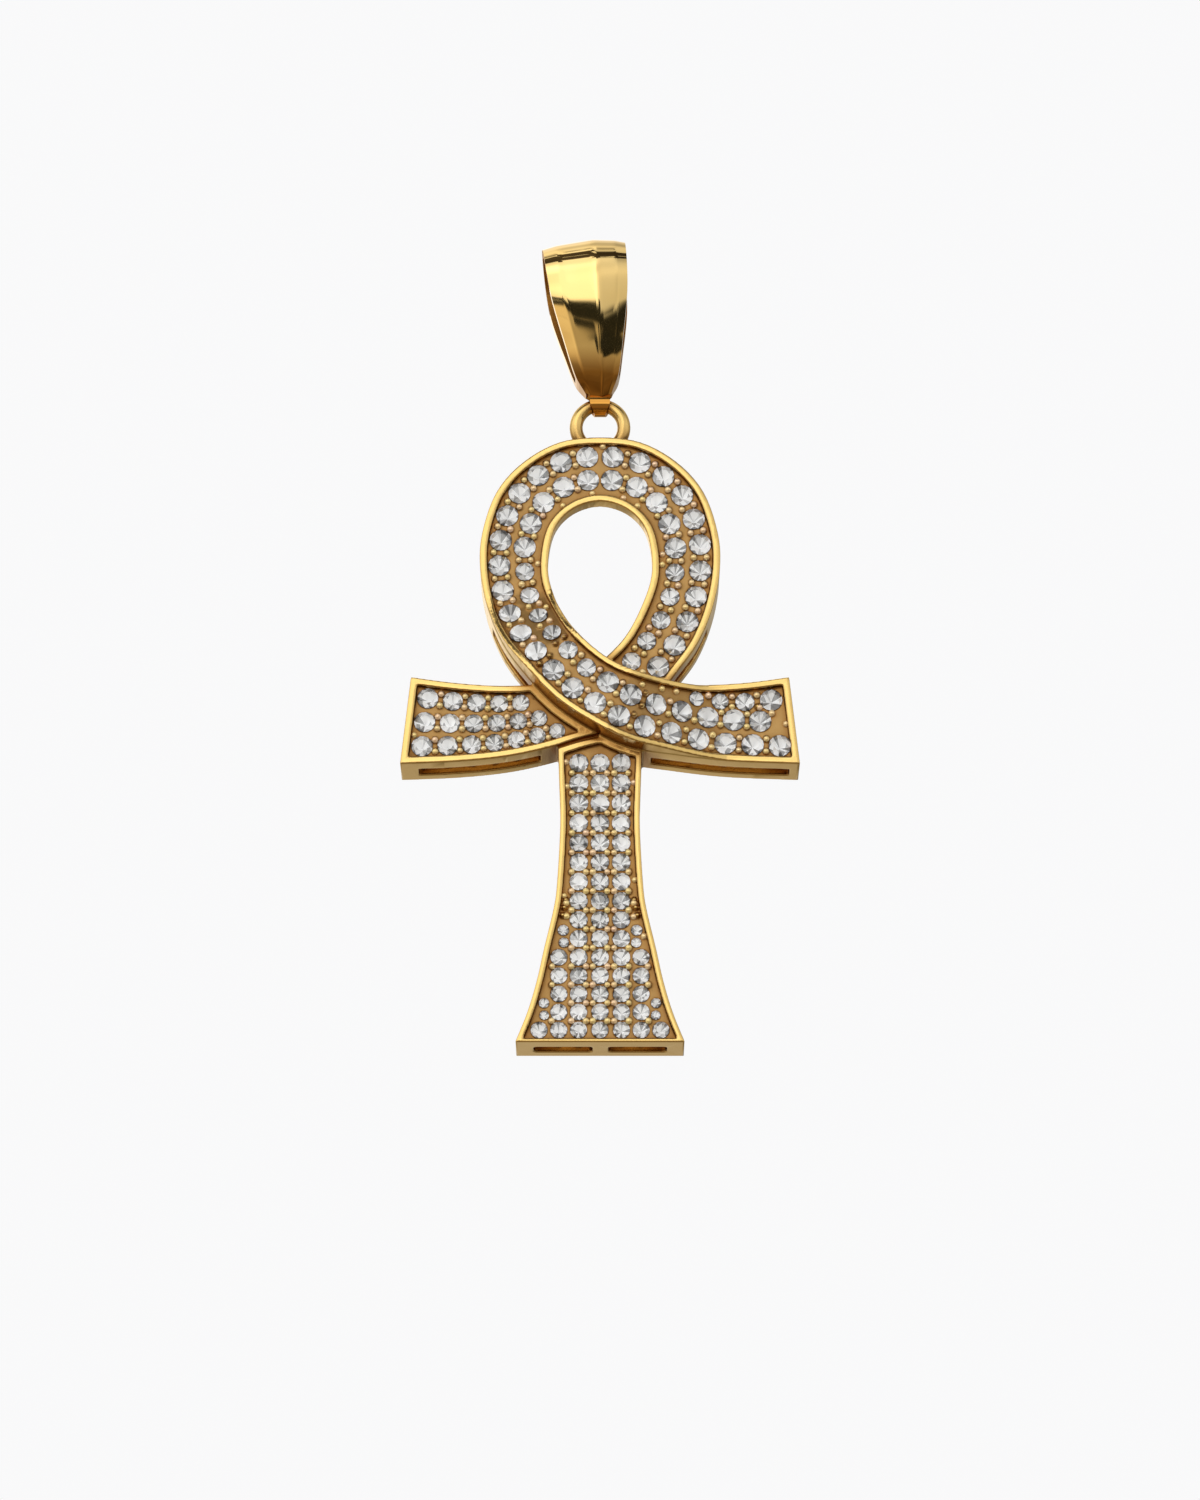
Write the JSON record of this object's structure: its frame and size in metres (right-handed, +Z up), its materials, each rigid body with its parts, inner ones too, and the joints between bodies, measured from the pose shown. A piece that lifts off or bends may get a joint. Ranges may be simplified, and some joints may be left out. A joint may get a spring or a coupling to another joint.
{
  "type": "ankh pendant",
  "caption": "Stone-set ankh pendant with an overlapping ribbon loop, hanging from a tapered polished bail by a soldered ring.",
  "frame": {"origin": "inside top of the bail, where a chain bears", "axes": "+Z up, -Y out of the front, +X to the right as seen from the front"},
  "size_m": [0.0232, 0.006, 0.0501],
  "materials": {
    "cast_gold": "satin gold plating",
    "polished_gold": "mirror-polished gold plating",
    "clear_stone": "clear, brilliant cut"
  },
  "bodies": {
    "bail": {"bail": "polished_gold"},
    "ankh": {"casting": "cast_gold", "ribbon_stones": "clear_stone", "left_arm_stones": "clear_stone", "shaft_stones": "clear_stone"}
  },
  "joints": [
    {"name": "swing", "type": "hinge", "parent": "bail", "child": "ankh", "pos_m": [0.00096, 0, -0.0096], "axis": [1, 0, 0], "range_deg": [-110, 110]}
  ]
}
